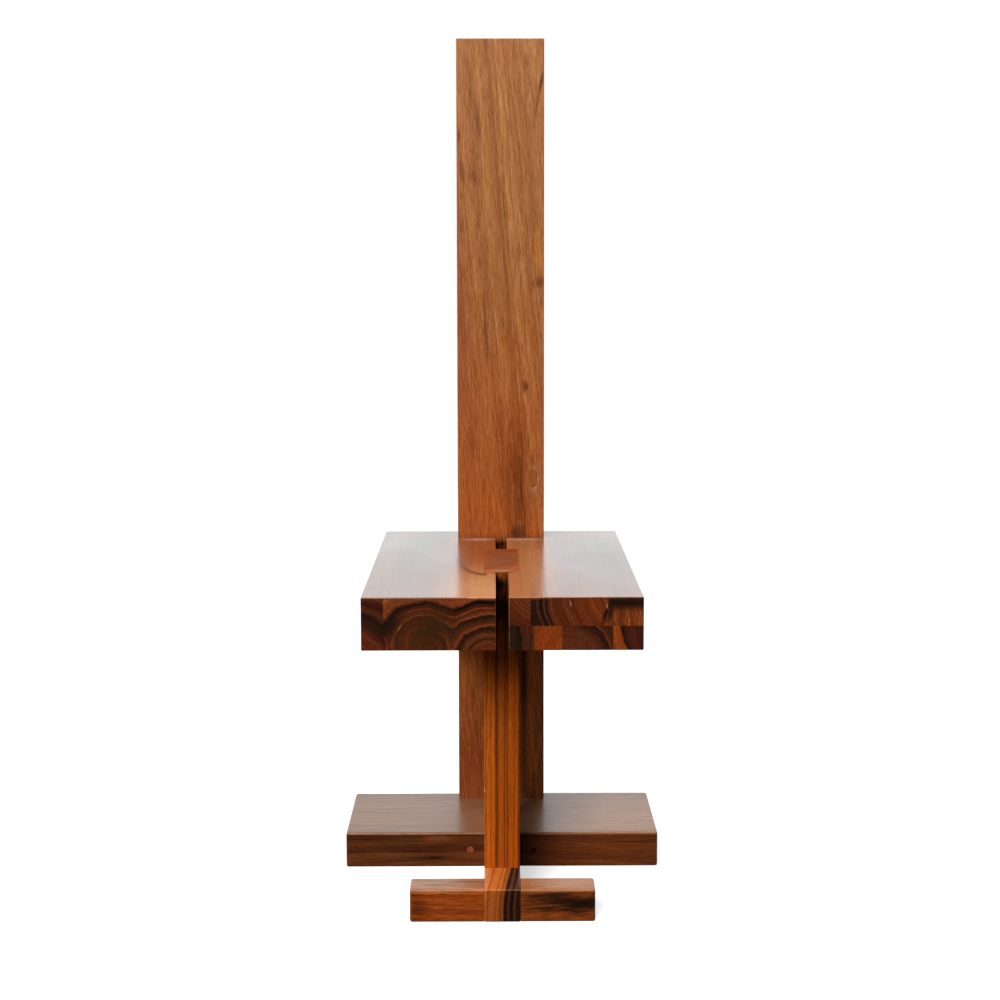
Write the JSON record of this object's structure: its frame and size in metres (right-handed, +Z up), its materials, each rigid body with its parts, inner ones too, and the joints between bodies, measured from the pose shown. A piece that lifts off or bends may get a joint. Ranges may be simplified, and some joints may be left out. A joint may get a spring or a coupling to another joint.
{
  "type": "high-backed chair",
  "caption": "High-backed solid-wood chair: a tall plank as its back, a post turned edge-on, a slotted slab seat, and a wide rear and a short front foot.",
  "frame": {"origin": "on the floor, at the centre of the whole chair's plan", "axes": "+Z up, +Y towards the back plank, +X to the right as seen from in front of the chair"},
  "size_m": [0.444, 0.356, 1.184],
  "materials": {
    "back_wood": "satin oil",
    "patch_wood": "satin oil",
    "post_wood": "satin oil",
    "seat_wood": "satin varnish",
    "rear_foot_wood": "satin oil",
    "runner_wood": "satin oil",
    "front_foot_wood": "satin oil",
    "plug_wood": "satin oil",
    "dowel_wood": "bare",
    "screw_steel": "zinc plated"
  },
  "bodies": {
    "root": {"back_plank": "back_wood", "back_patch": "patch_wood", "front_post": "post_wood", "seat_left_edge_stave": "seat_wood", "seat_left_main_stave": "seat_wood", "seat_right_upper_inner_stave": "seat_wood", "seat_right_upper_main_stave": "seat_wood", "seat_right_upper_edge_stave": "seat_wood", "seat_right_lower_inner_stave": "seat_wood", "seat_right_lower_narrow_stave": "seat_wood", "seat_right_lower_main_stave": "seat_wood", "seat_right_lower_edge_stave": "seat_wood", "rear_foot": "rear_foot_wood", "foot_runner": "runner_wood", "front_foot_left": "front_foot_wood", "front_foot_right": "front_foot_wood", "rear_foot_plug_left": "plug_wood", "rear_foot_plug_right": "plug_wood", "rear_foot_screws": "screw_steel", "post_seat_dowels": "dowel_wood", "back_seat_dowels": "dowel_wood", "front_foot_dowels": "dowel_wood", "runner_dowels": "dowel_wood"}
  },
  "joints": []
}
